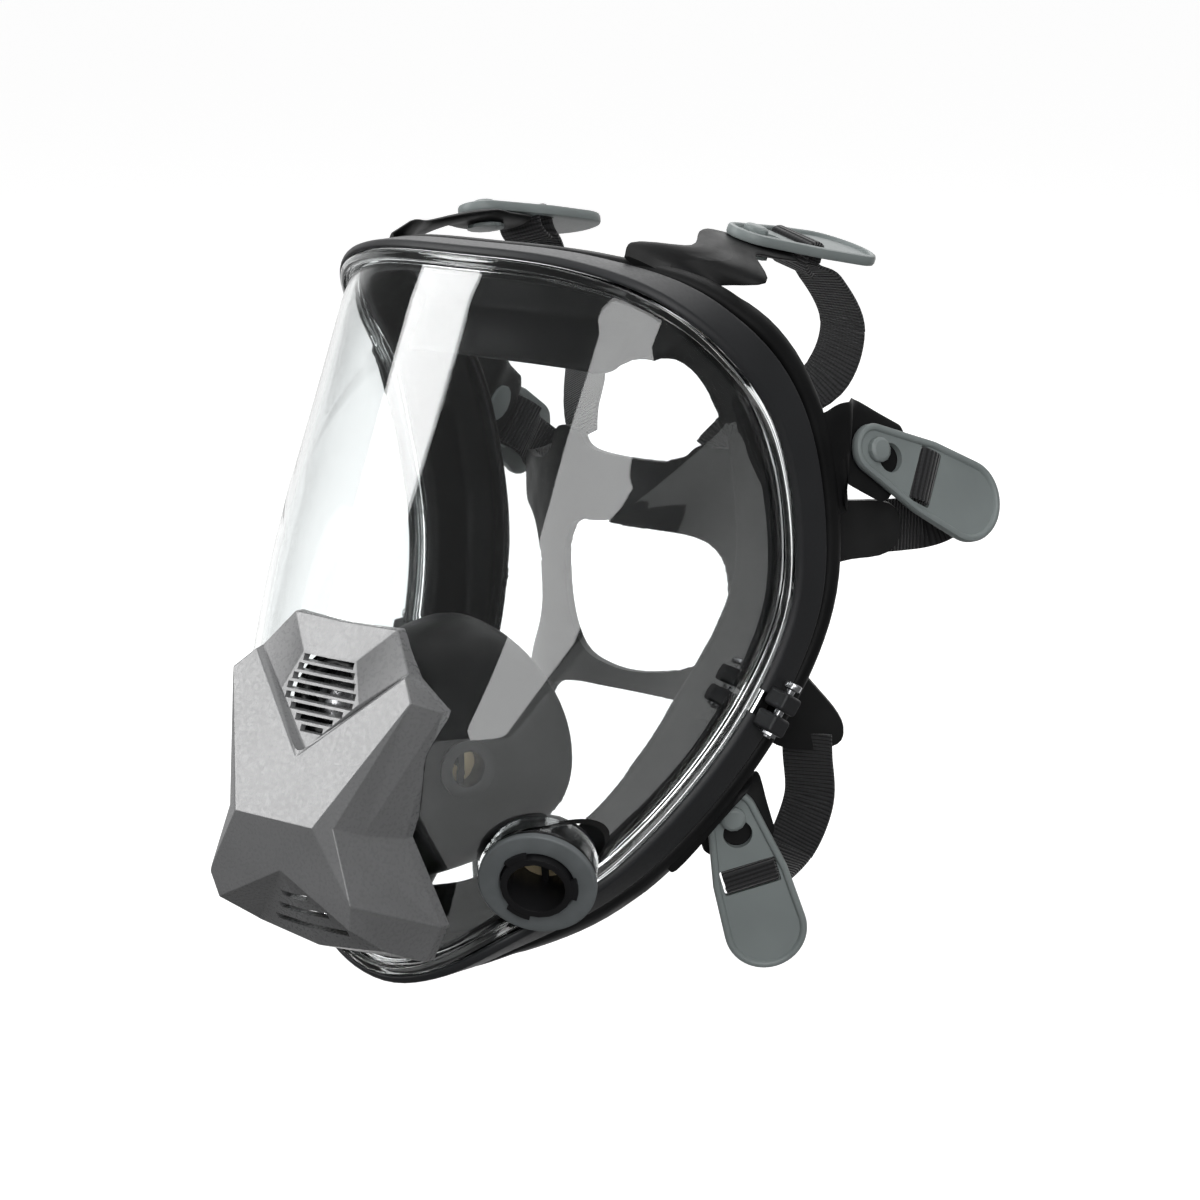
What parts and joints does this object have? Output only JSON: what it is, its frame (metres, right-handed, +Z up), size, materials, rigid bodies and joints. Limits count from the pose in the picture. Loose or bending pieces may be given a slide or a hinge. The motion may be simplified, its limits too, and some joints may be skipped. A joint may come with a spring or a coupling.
{
  "type": "full face respirator",
  "caption": "Full face respirator: wide clear visor in a clamped frame over a rubber face seal, cheek filter ports, front exhalation and speech unit, nose cup and head harness.",
  "frame": {"origin": "centre of the face opening, midway between the seal's sides", "axes": "+X towards the wearer's left, +Y back towards the wearer's head, +Z up"},
  "size_m": [0.2118, 0.2419, 0.2514],
  "materials": {
    "clear_polycarbonate": "clear polished",
    "frame_plastic": "dark grey satin",
    "cover_plastic": "light grey satin",
    "buckle_plastic": "grey-green satin",
    "black_plastic": "black satin",
    "black_rubber": "black satin rubber",
    "grey_rubber": "grey rubber",
    "valve_silicone": "pale translucent silicone",
    "black_webbing": "woven black webbing",
    "steel": "bright steel"
  },
  "bodies": {
    "mask": {"visor": "clear_polycarbonate", "upper_frame": "frame_plastic", "lower_frame": "frame_plastic", "clamp_screw_left": "steel", "clamp_screw_right": "steel", "clamp_nut_left": "steel", "clamp_nut_right": "steel", "speaking_diaphragm": "steel", "face_seal": "black_rubber", "nose_cup": "black_rubber", "forehead_stud_left": "buckle_plastic", "forehead_stud_right": "buckle_plastic", "forehead_strap_left": "black_webbing", "forehead_strap_right": "black_webbing", "temple_stud_left": "buckle_plastic", "temple_stud_right": "buckle_plastic", "temple_strap_left": "black_webbing", "temple_strap_right": "black_webbing", "jaw_stud_left": "buckle_plastic", "jaw_stud_right": "buckle_plastic", "jaw_strap_left": "black_webbing", "jaw_strap_right": "black_webbing", "filter_port_left": "black_plastic", "filter_port_right": "black_plastic", "filter_port_nut_left": "black_plastic", "filter_port_nut_right": "black_plastic", "speech_housing": "black_plastic", "diaphragm_ring": "black_plastic", "exhalation_valve_seat": "black_plastic", "nose_valve_seat_left": "black_plastic", "nose_valve_seat_right": "black_plastic", "filter_gasket_left": "grey_rubber", "filter_gasket_right": "grey_rubber", "speech_gasket": "grey_rubber", "exhalation_gasket": "grey_rubber"},
    "front_cover": {"front_cover": "cover_plastic"},
    "exhalation_flap": {"exhalation_flap": "valve_silicone"},
    "head_cradle": {"head_cradle": "black_rubber"},
    "inhalation_flap_left": {"inhalation_flap_left": "valve_silicone"},
    "nose_valve_flap_left": {"nose_valve_flap_left": "valve_silicone"},
    "forehead_buckle_left": {"forehead_buckle_left": "buckle_plastic"},
    "temple_buckle_left": {"temple_buckle_left": "buckle_plastic"},
    "jaw_buckle_left": {"jaw_buckle_left": "buckle_plastic"},
    "inhalation_flap_right": {"inhalation_flap_right": "valve_silicone"},
    "nose_valve_flap_right": {"nose_valve_flap_right": "valve_silicone"},
    "forehead_buckle_right": {"forehead_buckle_right": "buckle_plastic"},
    "temple_buckle_right": {"temple_buckle_right": "buckle_plastic"},
    "jaw_buckle_right": {"jaw_buckle_right": "buckle_plastic"}
  },
  "joints": [
    {"name": "cover_pull", "type": "slide", "parent": "mask", "child": "front_cover", "axis": [0, -1, 0], "range_m": [0, 0.03]},
    {"name": "exhalation_lift", "type": "slide", "parent": "mask", "child": "exhalation_flap", "axis": [0, -0.8998, -0.4364], "range_m": [0, 0.0018], "stiffness_N_per_m": 20, "springref_m": -0.001},
    {"name": "inhalation_lift_left", "type": "slide", "parent": "mask", "child": "inhalation_flap_left", "axis": [-0.4936, 0.7826, 0.3793], "range_m": [0, 0.0018], "stiffness_N_per_m": 20, "springref_m": -0.001},
    {"name": "nose_valve_lift_left", "type": "slide", "parent": "mask", "child": "nose_valve_flap_left", "axis": [-0.908, 0.419, 0], "range_m": [0, 0.0015], "stiffness_N_per_m": 20, "springref_m": -0.001},
    {"name": "inhalation_lift_right", "type": "slide", "parent": "mask", "child": "inhalation_flap_right", "axis": [0.4936, 0.7826, 0.3793], "range_m": [0, 0.0018], "stiffness_N_per_m": 20, "springref_m": -0.001},
    {"name": "nose_valve_lift_right", "type": "slide", "parent": "mask", "child": "nose_valve_flap_right", "axis": [0.908, 0.419, 0], "range_m": [0, 0.0015], "stiffness_N_per_m": 20, "springref_m": -0.001},
    {"name": "forehead_buckle_swivel_left", "type": "hinge", "parent": "mask", "child": "forehead_buckle_left", "pos_m": [0.059, 0.0016, 0.1217], "axis": [0.2514, 0.1661, 0.9535], "range_deg": [-20, 20], "deforming": ["forehead_strap_left"]},
    {"name": "forehead_buckle_swivel_right", "type": "hinge", "parent": "mask", "child": "forehead_buckle_right", "pos_m": [-0.059, 0.0016, 0.1217], "axis": [-0.2514, 0.1661, 0.9535], "range_deg": [-20, 20], "deforming": ["forehead_strap_right"]},
    {"name": "temple_buckle_swivel_left", "type": "hinge", "parent": "mask", "child": "temple_buckle_left", "pos_m": [0.086, 0.032, 0.0516], "axis": [0.9494, -0.1823, 0.2558], "range_deg": [-20, 20], "deforming": ["temple_strap_left"]},
    {"name": "temple_buckle_swivel_right", "type": "hinge", "parent": "mask", "child": "temple_buckle_right", "pos_m": [-0.086, 0.032, 0.0516], "axis": [-0.9494, -0.1823, 0.2558], "range_deg": [-20, 20], "deforming": ["temple_strap_right"]},
    {"name": "jaw_buckle_swivel_left", "type": "hinge", "parent": "mask", "child": "jaw_buckle_left", "pos_m": [0.0592, -0.007, -0.0692], "axis": [0.7188, -0.6876, -0.1029], "range_deg": [-20, 20], "deforming": ["jaw_strap_left"]},
    {"name": "jaw_buckle_swivel_right", "type": "hinge", "parent": "mask", "child": "jaw_buckle_right", "pos_m": [-0.0592, -0.007, -0.0692], "axis": [-0.7188, -0.6876, -0.1029], "range_deg": [-20, 20], "deforming": ["jaw_strap_right"]},
    {"name": "cradle_pull", "type": "slide", "parent": "mask", "child": "head_cradle", "axis": [0, 1, 0], "range_m": [0, 0.03], "deforming": ["forehead_strap_left", "forehead_strap_right", "temple_strap_left", "temple_strap_right", "jaw_strap_left", "jaw_strap_right"]}
  ]
}
